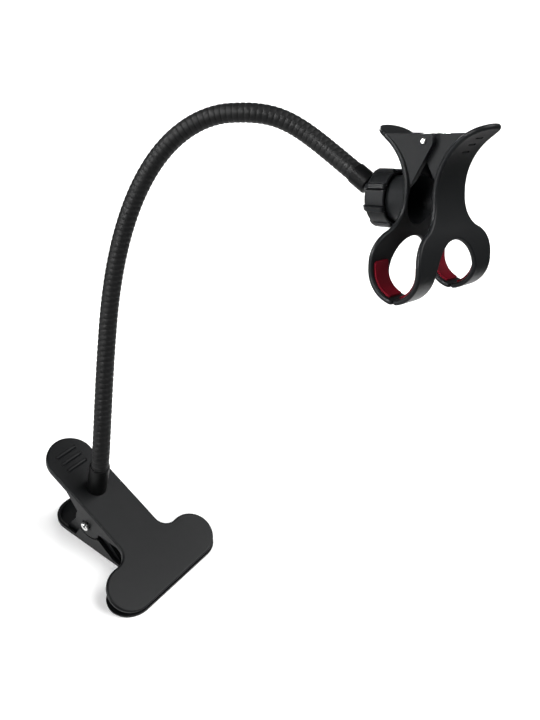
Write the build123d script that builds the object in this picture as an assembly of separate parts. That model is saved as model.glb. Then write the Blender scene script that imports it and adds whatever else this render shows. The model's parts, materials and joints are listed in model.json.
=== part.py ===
from build123d import *
from math import acos, asin, atan2, cos, degrees, radians, sin, sqrt
import os

# Phone gooseneck holder: a sprung desk clip with hammer-headed jaws, a ribbed gooseneck on a raked
# collar, a ball joint with a ribbed lock nut, and a butterfly clip that grips the telephone.
# Millimetres. X runs towards the clip's mouth, Z is up, and the origin lies on the lower jaw's
# outer face, straight below the hinge pin.

# Desk clip
body_half_width = 15.0
plate = 2.2
edge_round = 1.0
rim_wall = 2.0
rim_height = 1.6
lobe_radius = 14.0
lobe_offset = 25.4
throat_round = 8.0
jaw_angle = 28.1
upper_tail_to_pin = 35.9
upper_pin_to_front = 61.0
lower_tail_to_pin = 26.8
lower_pin_to_front = 60.0
pin_height = 21.2
lip_gap = 0.1
ear_wall = 2.2
ear_radius = 10.0
ear_shoulder = 2.8
ear_back = 26.0
ear_front = 28.0
lower_ear_radius = 8.0
lower_ear_foot = 26.0
lower_wall_gap = 0.8
lower_wall_height = 13.0
lower_wall_top_back = 8.0
lower_wall_top_front = 9.0
lower_wall_back = 16.0
lower_wall_front = 23.5
ear_clearance = 0.3
groove_count = 3
groove_pitch = 5.3
groove_length = 15.0
groove_width = 1.6
groove_depth = 0.5
clip_pin_radius = 2.7
clip_pin_bore = 1.2
clip_pin_proud = 2.4
clip_pin_chamfer = 0.5
pin_recess_radius = 3.8
pin_recess = 0.5
pin_fit = 0.05
clip_coil_radius = 4.4
clip_coil_side_gap = 1.0
clip_coil_turns = 4
clip_wire = 1.4
clip_leg_reach = 22.0
pad = 1.2
pad_depth = 15.0
pad_setback = 6.0
pad_margin = 4.0
pad_corner = 6.0
seat_gap = 0.05

# Collar and gooseneck
collar_from_tail = 23.5
collar_rake = 10.5
collar_radius = 5.9
collar_height = 22.5
collar_chamfer = 0.9
collar_bore_depth = 14.0
boss_wall = 1.7
boss_depth = 5.2
washer_radius = 7.2
washer = 0.8
screw_radius = 2.0
screw_reach = 7.0
screw_tip_room = 1.0
screw_head_radius = 3.4
screw_head_height = 2.0
neck_radius = 5.0
neck_groove = 0.45
neck_pitch = 4.8
neck_fit = 0.06
collar_lead = 14.0
ferrule_lead = 43.0
neck_side = Vector(-0.1, 0.8, -0.6)

# Knees of the gooseneck as it stands: place, direction, and how far the bend reaches back and forward
neck_knees = [
    (Vector(-12.0, 32.3, 139.8), Vector(-0.131, 0.376, 0.917), 38.0, 87.0),
    (Vector(22.8, 102.8, 244.3), Vector(0.894, 0.436, 0.111), 26.0, 27.0),
]

# Ball joint
ball_ahead_of_hinge = 109.4
ball_aside = 116.6
ball_height = 215.7
ball_centre = Vector(ball_ahead_of_hinge, ball_aside, ball_height)
stem_direction = Vector(0.924, -0.087, -0.372)
ball_radius = 9.0
ball_fit = 0.12
stem_radius = 2.6
ferrule_radius = 5.6
ferrule_gap = 11.2
ferrule_length = 9.3
ferrule_floor = 2.8
shank_radius = 2.3
cup_radius = 11.0
cup_mouth = 2.5
cup_flare = 12.8
cup_recess = 12.0
thread_fit = 0.2
nut_radius = 13.6
nut_front = 8.3
nut_back = 5.4
nut_lip_radius = 8.2
nut_mouth_radius = 9.2
nut_dome = 9.0
nut_crown = 3.4
nut_shoulder_gap = 0.6
nut_rib_count = 8
nut_rib_phase = 18.0
nut_rib_width = 3.2
nut_rib_height = 1.2
nut_rib_root = 1.0

# Phone clip, measured from its own pin
holder_lean = -13.6
holder_pitch = -11.5
holder_yaw = -6.8
pin_ahead_of_ball = 28.0
pin_above_ball = 27.3
jaw_wall = 2.6
handle_reach = 30.0
handle_rise = 5.0
handle_half_width = 11.8
handle_corner = 11.3
grip_groove_count = 3
grip_groove_start = 9.5
grip_groove_pitch = 4.4
grip_groove_radius = 0.6
grip_groove_half = 3.0
waist_reach = 9.0
waist_drop = 22.6
waist_half_width = 13.2
flare_start = 26.3
flare_end = 53.5
loop_reach = 14.3
loop_drop = 56.7
loop_round = 15.6
finger_half_span = 32.2
finger_width = 14.2
arch_top = 44.3
arch_spring = 64.5
tip_gap = 0.3
holder_ear = 3.4
holder_ear_nose = 4.8
holder_ear_top = 2.0
holder_pin_radius = 1.3
holder_pin_proud = 0.5
holder_coil_radius = 3.4
holder_coil_half_length = 3.4
holder_coil_turns = 2
holder_wire = 1.0
holder_leg_rise = 1.5
grip_pad = 1.5
grip_pad_top = 53.0
grip_pad_margin = 2.0
grip_pad_tip = 3.5

# Places worked out from those sizes
upper_front = upper_tail_to_pin + upper_pin_to_front
lower_front = lower_tail_to_pin + lower_pin_to_front
lip_rise = upper_pin_to_front * sin(radians(jaw_angle))
pin_below_upper = plate + (plate + lip_gap - pin_height + lip_rise) / cos(radians(jaw_angle))
pin_place = Pos(0, 0, pin_height)
upper_jaw_place = pin_place * Rot(0, jaw_angle, 0) * Pos(-upper_tail_to_pin, 0, pin_below_upper)
lower_jaw_place = Pos(-lower_tail_to_pin, 0, 0)
collar_seat = Pos(collar_from_tail, 0, 0) * Rot(0, -collar_rake, 0)
collar_place = upper_jaw_place * collar_seat
stem_axis = stem_direction.normalized()
stem_place = Location(Plane(ball_centre, z_dir=stem_axis))
ferrule_start = ferrule_gap + ferrule_length
holder_place = Pos(ball_centre) * Rot(holder_lean, holder_pitch, holder_yaw)
holder_pin_place = holder_place * Pos(pin_ahead_of_ball, 0, pin_above_ball)
upper_ear_outside = body_half_width
lower_ear_outside = body_half_width - ear_wall - ear_clearance
clip_coil_half_length = lower_ear_outside - ear_wall - clip_coil_side_gap - clip_wire / 2
back_ear_outside = handle_half_width
front_ear_outside = handle_half_width - holder_ear - ear_clearance


def rod(radius, low, high):
    """Round bar on the local Z axis between two heights."""
    return Pos(0, 0, low) * Cylinder(radius, high - low, align=(Align.CENTER, Align.CENTER, Align.MIN))


def pin_across(radius, half_length):
    """Round bar along Y, centred on the origin."""
    return Rot(90, 0, 0) * rod(radius, -half_length, half_length)


def clip_outline(front):
    """Plan of one clip jaw: round tail, straight body and a hammer head with round lobes."""
    outline = Circle(body_half_width) + Pos(front / 2, 0) * Rectangle(front, 2 * body_half_width)
    outline += Pos(front - lobe_radius / 2, 0) * Rectangle(lobe_radius, 2 * lobe_offset)
    for side in (-1, 1):
        outline += Pos(front - lobe_radius, side * lobe_offset) * Circle(lobe_radius)
    throats = [
        corner for corner in outline.vertices()
        if abs(abs(corner.Y) - body_half_width) < 0.01 and corner.X > front / 2
    ]
    return fillet(throats, throat_round)


def upper_ear():
    """Side view of an upper ear: a round eye at the pin below a wedge along the plate."""
    shoulder = pin_below_upper - ear_shoulder
    half_eye = sqrt(ear_radius**2 - ear_shoulder**2)
    wedge = Polygon(
        (-ear_back, plate / 2), (ear_front, plate / 2),
        (half_eye, shoulder), (-half_eye, shoulder), align=None
    )
    return Pos(upper_tail_to_pin, 0) * (wedge + Pos(0, pin_below_upper) * Circle(ear_radius))


def lower_ear():
    """Side view of a lower ear: a round eye at the pin that spreads to a foot on the plate."""
    eye = Pos(lower_tail_to_pin, pin_height) * Circle(lower_ear_radius)
    foot = Pos(lower_tail_to_pin, plate / 2) * Line((-lower_ear_foot, 0), (lower_ear_foot, 0))
    return make_hull([*eye.edges(), *foot.edges()])


def lower_wall():
    """Side view of the lower jaw's outer wall, hollowed round the upper ear's eye."""
    wall = Polygon(
        (-lower_wall_back, plate / 2), (lower_wall_front, plate / 2),
        (lower_wall_top_front, lower_wall_height), (-lower_wall_top_back, lower_wall_height), align=None
    )
    wall -= Pos(0, pin_height) * Circle(ear_radius + lower_wall_gap)
    return Pos(lower_tail_to_pin, 0) * wall


def on_both_sides(side_view, outside, thickness):
    """The same upright wall at both sides, with its outer faces that far from the middle."""
    walls = extrude(Plane.XZ * side_view, thickness)
    return [Pos(0, outside, 0) * walls, Pos(0, thickness - outside, 0) * walls]


def clip_jaw(front, pin_at, pin_up, ear, ear_outside):
    """One moulded jaw with its outer face at height 0 and its inner side upwards."""
    outline = clip_outline(front)
    jaw = extrude(outline, plate)
    jaw = fillet(jaw.faces().sort_by(Axis.Z)[0].edges(), edge_round)
    length = front - 2 * lobe_radius
    body = Pos(length / 2 - body_half_width, 0) * Rectangle(length, 4 * body_half_width)
    rim = (outline - offset(outline, -rim_wall)) & body
    jaw += extrude(Pos(0, 0, plate / 2) * rim, rim_height + plate / 2)
    for wall in on_both_sides(ear, ear_outside, ear_wall):
        jaw += wall
    jaw -= Pos(pin_at, 0, pin_up) * pin_across(clip_pin_radius + pin_fit, 2 * body_half_width)
    for row in range(groove_count):
        place = Pos((row - (groove_count - 1) / 2) * groove_pitch, 0, 0)
        slot = SlotOverall(groove_length, groove_width, rotation=90)
        jaw -= place * extrude(slot, groove_depth)
    return jaw


def clip_pad(front):
    """Rubber strip inside the hammer head, on the plate's inner face."""
    width = 2 * (lobe_offset + lobe_radius - pad_margin)
    middle = front - pad_setback - pad_depth / 2
    return Pos(middle, 0, plate) * extrude(RectangleRounded(pad_depth, width, pad_corner), pad)


def upper_jaw():
    """Upper jaw with the raked boss that holds the collar, outer face up at its own height 0."""
    jaw = clip_jaw(upper_front, upper_tail_to_pin, pin_below_upper, upper_ear(), upper_ear_outside)
    pin_eye = Pos(upper_tail_to_pin, 0, pin_below_upper)
    jaw -= pin_eye * pin_across(pin_recess_radius, 2 * body_half_width) - (
        pin_eye * pin_across(pin_recess_radius, upper_ear_outside - pin_recess)
    )
    jaw = Rot(180, 0, 0) * jaw
    below = Box(*[4 * body_half_width] * 3, align=(Align.CENTER, Align.CENTER, Align.MAX))
    below = Pos(collar_from_tail, 0, -plate / 2) * below
    boss = collar_seat * rod(collar_radius + boss_wall, -boss_depth, collar_radius)
    jaw += boss & below
    return jaw - collar_seat * rod(collar_radius + seat_gap, -2 * boss_depth, 2 * collar_radius)


def lower_jaw():
    """Lower jaw with outer walls that stand clear of the upper ears."""
    jaw = clip_jaw(lower_front, lower_tail_to_pin, pin_height, lower_ear(), lower_ear_outside)
    for wall in on_both_sides(lower_wall(), body_half_width, rim_wall):
        jaw += wall
    return jaw


def torsion_spring(coil_radius, wire, turns, half_length, first_tip, second_tip):
    """Square-wire torsion spring about Y, whose two legs end at points of the XZ plane."""
    first_leg = sqrt(first_tip.length**2 - coil_radius**2)
    second_leg = sqrt(second_tip.length**2 - coil_radius**2)
    start = degrees(atan2(first_tip.Y, first_tip.X) + atan2(first_leg, coil_radius))
    end = degrees(atan2(second_tip.Y, second_tip.X) - atan2(second_leg, coil_radius))
    sweep_angle = 360 * turns + (end - start) % 360
    coil_path = Helix(2 * half_length * 360 / sweep_angle, 2 * half_length, coil_radius)
    section = Plane(coil_path @ 0, z_dir=coil_path % 0) * Rectangle(wire, wire)
    coil = sweep(section, path=coil_path, is_frenet=True)
    first_arm = Box(wire, first_leg, wire, align=(Align.CENTER, Align.MAX, Align.CENTER))
    second_arm = Box(wire, second_leg, wire, align=(Align.CENTER, Align.MIN, Align.CENTER))
    spring = Rot(0, 0, start) * (coil + Pos(coil_radius, 0, 0) * first_arm)
    spring += Rot(0, 0, end) * Pos(coil_radius, 0, 2 * half_length) * second_arm
    return Rot(90, 0, 0) * Pos(0, 0, -half_length) * spring


def clip_spring():
    """Spring round the clip's pin, with one leg on each jaw's inner face towards its tail."""
    off_plate = clip_wire / 2 + seat_gap
    lower_tip = Vector(-clip_leg_reach, plate + off_plate - pin_height)
    upper_tip = Vector(-clip_leg_reach, pin_below_upper - plate - off_plate).rotate(Axis.Z, -jaw_angle)
    return torsion_spring(
        clip_coil_radius, clip_wire, clip_coil_turns, clip_coil_half_length, lower_tip, upper_tip
    )


def clip_pin():
    """Hollow rivet across the clip's ears, standing proud at both ends."""
    half = upper_ear_outside + clip_pin_proud
    pin = pin_across(clip_pin_radius, half)
    pin = chamfer(pin.faces().filter_by(GeomType.PLANE).edges(), clip_pin_chamfer)
    return pin - pin_across(clip_pin_bore, 2 * half)


def collar():
    """Turned collar, tapped from below and bored from above for the gooseneck."""
    body = rod(collar_radius, seat_gap - boss_depth, collar_height)
    body = chamfer(body.edges().sort_by(Axis.Z)[-1], collar_chamfer)
    body -= rod(neck_radius + neck_fit, collar_height - collar_bore_depth, 2 * collar_height)
    return body - rod(screw_radius + seat_gap, -2 * boss_depth, screw_reach - boss_depth + screw_tip_room)


def collar_screw():
    """Pan-head screw that pulls the collar down onto the boss."""
    under_head = -boss_depth - washer
    head = rod(screw_head_radius, under_head - screw_head_height, under_head)
    head = chamfer(head.faces().sort_by(Axis.Z)[0].edges(), screw_head_height / 3)
    return head + rod(screw_radius, under_head, screw_reach - boss_depth)


def neck_path():
    """Centre line of the gooseneck from the collar's rim to the ferrule's mouth."""
    rim = (collar_place * Pos(0, 0, collar_height)).position
    up = Plane(collar_place).z_dir
    mouth = ball_centre - stem_axis * ferrule_start
    stations = [(rim, up, 0, collar_lead), *neck_knees, (mouth, stem_axis, ferrule_lead, 0)]
    spans = []
    for (start, leave, _, forward), (end, arrive, back, _) in zip(stations, stations[1:]):
        spans.append(
            Bezier(start, start + leave.normalized() * forward, end - arrive.normalized() * back, end)
        )
    inner = rim - up * (collar_bore_depth - seat_gap)
    depth = ferrule_length - ferrule_floor - seat_gap
    return Wire([Line(inner, rim), *spans, Line(mouth, mouth + stem_axis * depth)])


def gooseneck():
    """Ribbed flexible tube: rings alternate between crest and groove along the centre line."""
    path = neck_path()
    steps = 2 * round(path.length / neck_pitch)
    rings = []
    for step in range(steps + 1):
        ahead = path % (step / steps)
        across = neck_side - ahead * neck_side.dot(ahead)
        station = Plane(path @ (step / steps), x_dir=across, z_dir=ahead)
        rings.append(station * Circle(neck_radius - neck_groove * (step % 2)))
    return loft(rings, ruled=True)


def ferrule():
    """Smooth sleeve at the gooseneck's upper end, bored through its floor for the ball's shank."""
    sleeve = rod(ferrule_radius, -ferrule_start, -ferrule_gap)
    sleeve = chamfer(sleeve.edges().sort_by(Axis.Z)[0], neck_groove)
    sleeve -= rod(neck_radius + neck_fit, -2 * ferrule_start, -ferrule_gap - ferrule_floor)
    return sleeve - rod(shank_radius + pin_fit, -2 * ferrule_start, 0)


def ball_stud():
    """Ball on a short stem, with a shank that runs down into the ferrule."""
    stud = Sphere(ball_radius) + rod(stem_radius, -ferrule_gap + seat_gap, 0)
    return stud + rod(shank_radius, -ferrule_gap - ferrule_floor + seat_gap, 0)


def lock_nut():
    """Ring nut about X: threaded bore, ball seat, domed back and ribs round the outside."""
    bore = cup_radius + thread_fit
    seat = ball_radius + ball_fit
    shoulder = cup_mouth - nut_shoulder_gap
    lip = sqrt(seat**2 - nut_lip_radius**2)
    profile = make_face([
        Line((-nut_back, nut_mouth_radius), (-lip, nut_lip_radius)),
        RadiusArc((-lip, nut_lip_radius), (0, seat), seat),
        Line((0, seat), (shoulder, seat)),
        Line((shoulder, seat), (shoulder, bore)),
        Line((shoulder, bore), (nut_front, bore)),
        Line((nut_front, bore), (nut_front, nut_radius)),
        Line((nut_front, nut_radius), (nut_crown - nut_back, nut_radius)),
        RadiusArc((nut_crown - nut_back, nut_radius), (-nut_back, nut_mouth_radius), -nut_dome),
    ])
    nut = revolve(profile, Axis.X)
    length = nut_front + nut_back - nut_crown
    height = nut_rib_root + nut_rib_height
    rib = Box(length, nut_rib_width, height, align=(Align.MIN, Align.CENTER, Align.MIN))
    rib = chamfer(rib.edges().filter_by(Axis.X).group_by(Axis.Z)[-1], nut_rib_height / 2)
    rib = Pos(nut_crown - nut_back, 0, nut_radius - nut_rib_root) * rib
    for turn in range(nut_rib_count):
        nut += Rot(360 * turn / nut_rib_count + nut_rib_phase, 0, 0) * rib
    return nut


def handle_arc():
    """Centre, radius and opening angle of the arc that the handle's outer surface follows."""
    rise = handle_rise + waist_drop
    reach = handle_reach - waist_reach
    radius = (reach**2 + rise**2) / (2 * reach)
    return Vector(waist_reach + radius, -waist_drop), radius, degrees(asin(rise / radius))


def jaw_curve(inset):
    """Side view of the front jaw from handle to finger tip, at a depth below its outer surface."""
    handle_centre, handle_round, handle_angle = handle_arc()
    fall = loop_drop - waist_drop
    swell = loop_reach - waist_reach
    sway_round = (swell**2 + fall**2) / (4 * swell)
    sway = degrees(asin(fall / (2 * sway_round)))
    hook = degrees(acos(1 - loop_reach / loop_round))
    return [
        CenterArc(handle_centre, handle_round + inset, 180 - handle_angle, handle_angle),
        CenterArc((waist_reach + sway_round, -waist_drop), sway_round + inset, 180, sway),
        CenterArc((loop_reach - sway_round, -loop_drop), sway_round - inset, sway, -sway),
        CenterArc((loop_reach - loop_round, -loop_drop), loop_round - inset, 0, -hook),
    ]


def jaw_band(outer, inner):
    """Strip between two depths below the jaw's outer surface."""
    first = jaw_curve(outer)
    second = jaw_curve(inner)
    ends = [Line(first[0] @ 0, second[0] @ 0), Line(first[-1] @ 1, second[-1] @ 1)]
    return make_face([*first, *second, *ends])


def jaw_front():
    """Front view of a phone clip jaw: handle, waist, and two fingers round an arch."""
    spread = finger_half_span - waist_half_width
    fall = flare_end - flare_start
    flare_round = (spread**2 + fall**2) / (4 * spread)
    bottom = -2 * loop_drop
    top = handle_rise + 2 * jaw_wall
    middle = ((waist_half_width + finger_half_span) / 2, -(flare_start + flare_end) / 2)
    side = [
        Line((0, top), (handle_half_width, top)),
        Line((handle_half_width, top), (waist_half_width, -flare_start)),
        RadiusArc((waist_half_width, -flare_start), middle, -flare_round),
        RadiusArc(middle, (finger_half_span, -flare_end), flare_round),
        Line((finger_half_span, -flare_end), (finger_half_span, bottom)),
        Line((finger_half_span, bottom), (0, bottom)),
        Line((0, bottom), (0, top)),
    ]
    half = make_face(side)
    outline = half + mirror(half, Plane.YZ)
    half_gap = finger_half_span - finger_width
    arch = Pos(0, -arch_spring) * Ellipse(half_gap, arch_spring - arch_top)
    arch += Pos(0, (bottom - arch_spring) / 2) * Rectangle(2 * half_gap, -bottom - arch_spring)
    return outline - arch


def inside_of_jaw(depth):
    """Everything on the pin's side of the front jaw's surface at a depth, in side view."""
    curve = jaw_curve(depth)
    top = curve[0] @ 0
    tip = curve[-1] @ 1
    behind = -2 * handle_reach
    back = Polyline(tip, (behind, tip.Y), (behind, top.Y), top)
    return make_face([*curve, *back.edges()])


def holder_ear_view():
    """Side view of an ear of the phone clip, from the jaw's wall to a round nose at the pin."""
    nose = Circle(holder_ear_nose)
    foot = Line((handle_reach, holder_ear_top), (waist_reach, -waist_drop))
    return make_hull([*nose.edges(), *foot.edges()]) & inside_of_jaw(jaw_wall / 2)


def handle_waste():
    """What is cut away beyond the handle's round end, across the jaw's wall."""
    centre, _, _ = handle_arc()
    end = Vector(handle_reach, 0, handle_rise)
    end_plane = Plane(end, x_dir=(0, 1, 0), z_dir=Vector(centre.X, 0, centre.Y) - end)
    straight = handle_half_width - handle_corner
    kept = Rectangle(2 * straight, 4 * handle_corner)
    for side in (-1, 1):
        kept += Pos(side * straight, -handle_corner) * Circle(handle_corner)
    waste = Rectangle(4 * handle_half_width, 2 * handle_corner) - kept
    return extrude(end_plane * waste, 2 * jaw_wall, both=True)


def phone_jaw(ear_outside):
    """Front jaw of the phone clip about its pin, with the fingers below."""
    strip = extrude(Plane.XZ * jaw_band(0, jaw_wall), 2 * finger_half_span, both=True)
    jaw = strip & Pos(tip_gap / 2, 0, 0) * extrude(Plane.YZ * jaw_front(), 2 * handle_reach)
    jaw -= handle_waste()
    for wall in on_both_sides(holder_ear_view(), ear_outside, holder_ear):
        jaw += wall
    jaw -= pin_across(holder_pin_radius + pin_fit, 2 * handle_half_width)
    centre, radius, angle = handle_arc()
    for row in range(grip_groove_count):
        along = grip_groove_start + row * grip_groove_pitch
        place = centre + Vector(-radius, 0).rotate(Axis.Z, degrees(along / radius) - angle)
        jaw -= Pos(place.X, 0, place.Y) * pin_across(grip_groove_radius, grip_groove_half)
    return jaw


def back_jaw():
    """Back jaw with the flared cup that takes the ball, about the phone clip's pin."""
    jaw_face = pin_ahead_of_ball - waist_reach
    cup = make_face(Polyline(
        (cup_mouth, 0), (cup_mouth, cup_radius), (nut_front, cup_radius), (jaw_face, cup_flare),
        (jaw_face + jaw_wall, cup_flare), (jaw_face + jaw_wall, 0), close=True
    ))
    mouth_radius = sqrt((ball_radius + ball_fit)**2 - cup_mouth**2)
    past_wall = jaw_face + 3 * jaw_wall
    hollow = make_face(Polyline(
        (cup_mouth, 0), (cup_mouth, mouth_radius), (jaw_face + jaw_wall, cup_recess),
        (past_wall, cup_recess), (past_wall, 0), close=True
    ))
    ball = Pos(pin_ahead_of_ball, 0, -pin_above_ball) * Rot(0, 0, 180)
    inside = extrude(Plane.XZ * inside_of_jaw(jaw_wall / 2), 2 * cup_flare, both=True)
    jaw = phone_jaw(back_ear_outside) + (ball * revolve(cup, Axis.X) - inside)
    return mirror(jaw - ball * revolve(hollow, Axis.X), Plane.YZ)


def holder_spring():
    """Spring round the phone clip's pin, with one leg on each handle's inner face."""
    centre, radius, _ = handle_arc()
    face = centre.X - sqrt((radius + jaw_wall)**2 - (holder_leg_rise - centre.Y)**2)
    tip = face - holder_wire - seat_gap
    return torsion_spring(
        holder_coil_radius, holder_wire, holder_coil_turns, holder_coil_half_length,
        Vector(tip, holder_leg_rise), Vector(-tip, holder_leg_rise)
    )


def grip_pads():
    """Rubber strips on the inner faces of the front jaw's two fingers, near one first."""
    band = jaw_band(jaw_wall + seat_gap, jaw_wall + grip_pad)
    strip = extrude(Plane.XZ * band, finger_half_span, both=True)
    width = finger_width - 2 * grip_pad_margin
    pads = []
    for side in (-1, 1):
        middle = side * (finger_half_span - finger_width / 2)
        window = Box(2 * loop_reach, width, 2 * loop_drop, align=(Align.MIN, Align.CENTER, Align.MAX))
        pads.append(strip & Pos(grip_pad_tip, middle, -grip_pad_top) * window)
    return pads


def holder_pin():
    """Plain pin across the phone clip's ears."""
    pin = pin_across(holder_pin_radius, back_ear_outside + holder_pin_proud)
    return chamfer(pin.faces().filter_by(GeomType.PLANE).edges(), holder_pin_proud / 2)


front_pads = grip_pads()
back_pads = [mirror(strip, Plane.YZ) for strip in front_pads]
nodes = {
    "clip_upper_jaw": upper_jaw_place * upper_jaw(),
    "clip_lower_jaw": lower_jaw_place * lower_jaw(),
    "clip_upper_pad": upper_jaw_place * Rot(180, 0, 0) * clip_pad(upper_front),
    "clip_lower_pad": lower_jaw_place * clip_pad(lower_front),
    "clip_pin": pin_place * clip_pin(),
    "clip_spring": pin_place * clip_spring(),
    "neck_collar": collar_place * collar(),
    "collar_washer": collar_place * (
        rod(washer_radius, -boss_depth - washer, -boss_depth)
        - rod(screw_radius + seat_gap, -2 * boss_depth, 0)
    ),
    "collar_screw": collar_place * collar_screw(),
    "gooseneck": gooseneck(),
    "upper_ferrule": stem_place * ferrule(),
    "ball_stud": stem_place * ball_stud(),
    "lock_nut": holder_place * lock_nut(),
    "holder_back_jaw": holder_pin_place * back_jaw(),
    "holder_front_jaw": holder_pin_place * phone_jaw(front_ear_outside),
    "holder_pin": holder_pin_place * holder_pin(),
    "holder_spring": holder_pin_place * holder_spring(),
    "back_grip_pad_near": holder_pin_place * back_pads[0],
    "back_grip_pad_far": holder_pin_place * back_pads[1],
    "front_grip_pad_near": holder_pin_place * front_pads[0],
    "front_grip_pad_far": holder_pin_place * front_pads[1],
}

os.makedirs("parts", exist_ok=True)
for name, solid in nodes.items():
    export_step(solid, f"parts/{name}.step")
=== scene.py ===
import json
from contextlib import contextmanager
from math import acos, asin, atan2, cos, degrees, pi, radians, sin, sqrt

import bmesh
import bpy
from mathutils import Matrix, Vector


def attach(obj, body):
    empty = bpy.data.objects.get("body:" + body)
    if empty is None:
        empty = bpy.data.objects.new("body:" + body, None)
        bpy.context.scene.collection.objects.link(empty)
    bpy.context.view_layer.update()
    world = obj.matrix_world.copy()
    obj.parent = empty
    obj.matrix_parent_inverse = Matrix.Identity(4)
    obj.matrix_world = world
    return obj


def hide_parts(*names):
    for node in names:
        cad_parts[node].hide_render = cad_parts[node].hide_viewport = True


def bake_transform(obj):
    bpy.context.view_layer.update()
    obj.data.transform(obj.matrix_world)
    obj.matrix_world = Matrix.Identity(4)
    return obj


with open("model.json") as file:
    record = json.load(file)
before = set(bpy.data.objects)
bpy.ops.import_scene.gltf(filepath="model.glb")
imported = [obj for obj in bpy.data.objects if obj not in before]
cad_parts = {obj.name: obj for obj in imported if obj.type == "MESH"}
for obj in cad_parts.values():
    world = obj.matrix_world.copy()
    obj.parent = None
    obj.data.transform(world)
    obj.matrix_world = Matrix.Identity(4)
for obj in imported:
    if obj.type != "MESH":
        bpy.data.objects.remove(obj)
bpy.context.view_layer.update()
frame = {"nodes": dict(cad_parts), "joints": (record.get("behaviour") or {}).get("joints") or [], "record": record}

# Sizes are in millimetres, and each piece is set to metres when it is put in its place
MM = 0.001

# Tolerances, and how finely curves are divided, with the coil's step in degrees
slack = 0.01
merge_reach = 0.0005
upward = 0.9
row_step = 1.8
row_stop = 0.5
ear_root_steps = 12
spine_steps = 40
coil_step = 10.0
wire_steps = 3
neck_line_steps = 48

# Camera and studio, in metres, with the lens and the sensor in millimetres
camera_place = Vector((0.28289, -0.19690, 0.36604))
camera_forward = Vector((-0.505, 0.644, -0.575))
camera_lens = 38.0
camera_sensor = 36.0
camera_nearest = 0.01
floor_half = 6.0
floor_drop = 0.0002
table_half = 0.32
table_middle = (0.02, 0.02)
world_strength = 0.10
clip_middle = (0.00, 0.00, 0.03)
neck_middle = (0.05, 0.05, 0.12)
neck_top = (0.00, 0.085, 0.23)
phone_clip_middle = (0.15, 0.12, 0.225)

# Desk clip
body_half_width = 15.0
plate = 2.2
edge_round = 1.3
rim_wall = 2.0
rim_height = 1.6
rim_round = 0.4
lobe_radius = 14.0
lobe_offset = 25.4
throat_round = 8.0
upper_tail_to_pin = 35.9
upper_front = 96.9
lower_tail_to_pin = 26.8
lower_front = 86.8
ear_wall = 2.2
wall_round = 0.35
ear_radius = 10.0
ear_shoulder = 2.8
ear_back = 26.0
ear_front = 28.0
lower_ear_radius = 8.0
lower_ear_foot = 26.0
lower_ear_outside = 12.5
lower_wall_gap = 0.8
lower_wall_height = 13.0
lower_wall_top_back = 8.0
lower_wall_top_front = 9.0
lower_wall_back = 16.0
lower_wall_front = 23.5
groove_count = 3
groove_pitch = 5.3
groove_length = 15.0
groove_radius = 1.6
groove_depth = 0.7
groove_end_round = 1.12
clip_pin_radius = 2.7
clip_pin_bore = 1.2
clip_pin_proud = 2.4
clip_pin_round = 0.4
clip_pin_slit = 0.9
clip_pin_seam_turn = 60.0
pin_recess_radius = 3.8
pin_recess = 0.5
pin_fit = 0.05
clip_coil_radius = 4.4
clip_coil_half_length = 8.6
clip_coil_turns = 4
clip_wire = 1.4
clip_leg_reach = 22.0
pad = 1.2
pad_depth = 15.0
pad_setback = 6.0
pad_margin = 4.0
pad_corner = 6.0
pad_round = 0.4
seat_gap = 0.05

# Collar and gooseneck
collar_from_tail = 23.5
collar_rake = 10.5
collar_radius = 5.9
collar_height = 22.5
collar_chamfer = 0.9
turned_edge = 0.15
collar_bore_depth = 14.0
boss_wall = 1.7
boss_depth = 5.2
washer_radius = 7.2
washer = 0.8
screw_radius = 2.0
screw_reach = 7.0
screw_head_radius = 3.4
screw_head_height = 2.0
screw_crown_radius = 2.38
screw_tip = 0.5
cross_half_length = 1.87
cross_half_width = 0.4
cross_half_depth = 1.2
neck_radius = 5.0
neck_groove = 0.24
neck_crest = 0.1
neck_groove_power = 3
neck_pitch = 3.1
neck_fit = 0.06
collar_lead = 14.0
ferrule_lead = 43.0

# Knees of the gooseneck: place, direction, and the lengths of the curve's handles back and forward
first_knee = (Vector((-12.0, 32.3, 139.8)), Vector((-0.131, 0.376, 0.917)), 38.0, 87.0)
second_knee = (Vector((22.8, 102.8, 244.3)), Vector((0.894, 0.436, 0.111)), 26.0, 27.0)

# Where the gooseneck starts and ends to turn when it is bent, in metres
neck_bend_start = Vector((-0.01418, 0.05846, 0.19466))
neck_bend_end = Vector((0.03766, 0.11056, 0.24457))

# Ball joint
ball_radius = 9.0
ball_fit = 0.12
stem_radius = 2.6
ferrule_radius = 5.6
ferrule_gap = 11.2
ferrule_length = 9.3
ferrule_floor = 2.8
ferrule_nose = 1.7
ferrule_shoulder = 1.0
ferrule_nose_radius = 3.6
ferrule_round = 0.4
shank_radius = 2.3
cup_radius = 11.0
cup_mouth = 2.5
cup_overrun = 1.0
cup_flare = 12.8
cup_recess = 12.0
nut_radius = 13.6
nut_bore = 11.2
nut_front = 8.3
nut_back = 5.4
nut_lip_radius = 8.2
nut_mouth_radius = 9.2
nut_dome = 9.0
nut_crown = 3.4
nut_edge = 0.4
nut_shoulder_gap = 0.6
nut_rib_count = 8
nut_rib_phase = 18.0
nut_rib_width = 2.4
nut_rib_height = 1.2
nut_rib_round = 0.7
nut_rib_root = 1.5
nut_rib_foot = 0.6
nut_rib_corner = 1.4
nut_rib_low_end = 1.2
nut_rib_foot_end = 1.4
nut_rib_gutter = 0.6
nut_gutter_depth = 1.1
nut_gutter_cutter = 1.0
nut_recess_radius = 12.5
nut_recess = 2.4

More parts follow.
